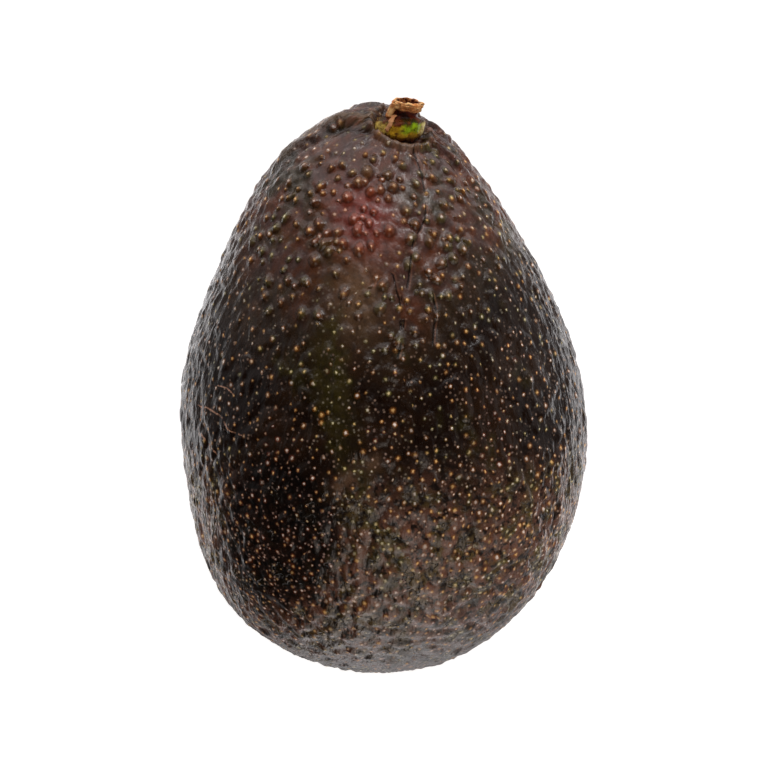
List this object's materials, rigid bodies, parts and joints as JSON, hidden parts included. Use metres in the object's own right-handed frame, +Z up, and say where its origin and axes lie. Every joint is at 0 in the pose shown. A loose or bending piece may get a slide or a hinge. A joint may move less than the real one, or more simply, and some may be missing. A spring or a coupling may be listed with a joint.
{
  "type": "avocado",
  "caption": "Whole ripe avocado lying on its side: egg-shaped fruit with dark pebbled skin, and the short cut stub of its stem standing in a dimple at the narrow end.",
  "frame": {"origin": "middle of the small flat spot on the underside that the fruit rests on", "axes": "+Z up, +Y along the fruit towards its stem end, +X to the right seen from above with the stem end away from the viewer"},
  "size_m": [0.0722, 0.1039, 0.0686],
  "materials": {
    "skin": "dark purple-brown waxy pebbled fruit skin with small tan and yellow-green dots",
    "stem": "green fleshy collar with a brown dry torn end"
  },
  "bodies": {
    "root": {"fruit": "skin", "stem": "stem"}
  },
  "joints": []
}
